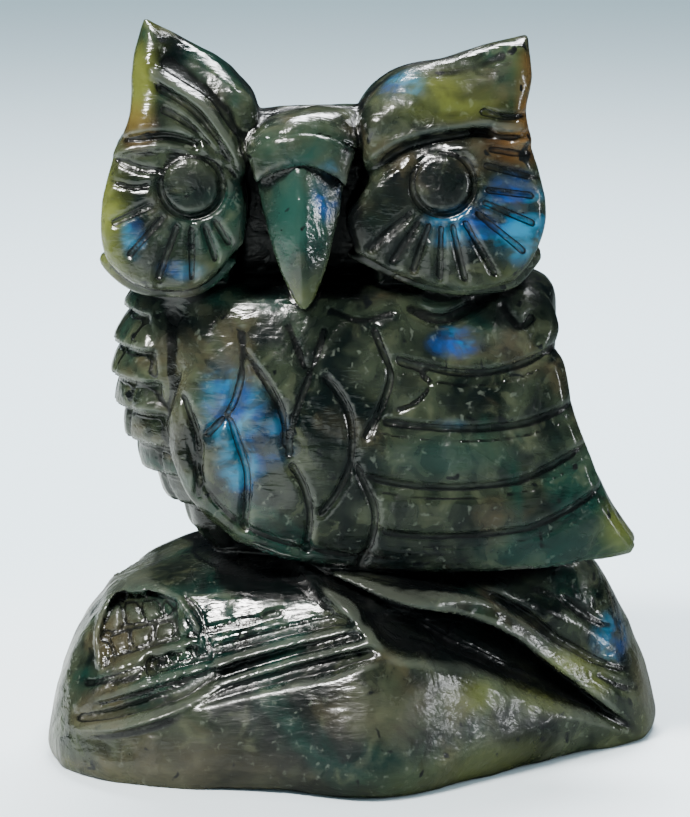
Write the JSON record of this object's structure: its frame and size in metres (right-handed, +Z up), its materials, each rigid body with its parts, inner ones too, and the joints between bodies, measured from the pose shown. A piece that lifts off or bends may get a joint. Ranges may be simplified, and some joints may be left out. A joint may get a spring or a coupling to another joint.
{
  "type": "owl figurine",
  "caption": "Polished stone owl carved in profile with its head turned to the front, standing on a carved rock; an ornament that rests on its flat underside.",
  "frame": {"origin": "middle of the flat underside's bounding box", "axes": "+Z up; -Y is the side that the owl's face looks to; the body is in profile and its breast faces -X"},
  "size_m": [0.0615, 0.044, 0.073],
  "materials": {
    "labradorite": "hand-carved and polished, dark grey-green with blue flashes"
  },
  "bodies": {
    "root": {"bark_panel": "labradorite", "beak": "labradorite", "body": "labradorite", "breast": "labradorite", "front_boulder": "labradorite", "head": "labradorite", "left_band": "labradorite", "left_ear": "labradorite", "left_eye": "labradorite", "left_face_disc": "labradorite", "left_flight_feather_1": "labradorite", "left_flight_feather_2": "labradorite", "left_flight_feather_3": "labradorite", "left_flight_feather_4": "labradorite", "left_flight_feather_5": "labradorite", "left_ridge": "labradorite", "left_wing_coverts": "labradorite", "lower_crown_band": "labradorite", "right_ear": "labradorite", "right_eye": "labradorite", "right_face_disc": "labradorite", "right_flight_feather_1": "labradorite", "right_flight_feather_2": "labradorite", "right_flight_feather_3": "labradorite", "right_flight_feather_4": "labradorite", "right_flight_feather_5": "labradorite", "right_ridge": "labradorite", "right_slope": "labradorite", "right_wing_coverts": "labradorite", "rock": "labradorite", "tail": "labradorite", "upper_crown_band": "labradorite"}
  },
  "joints": []
}
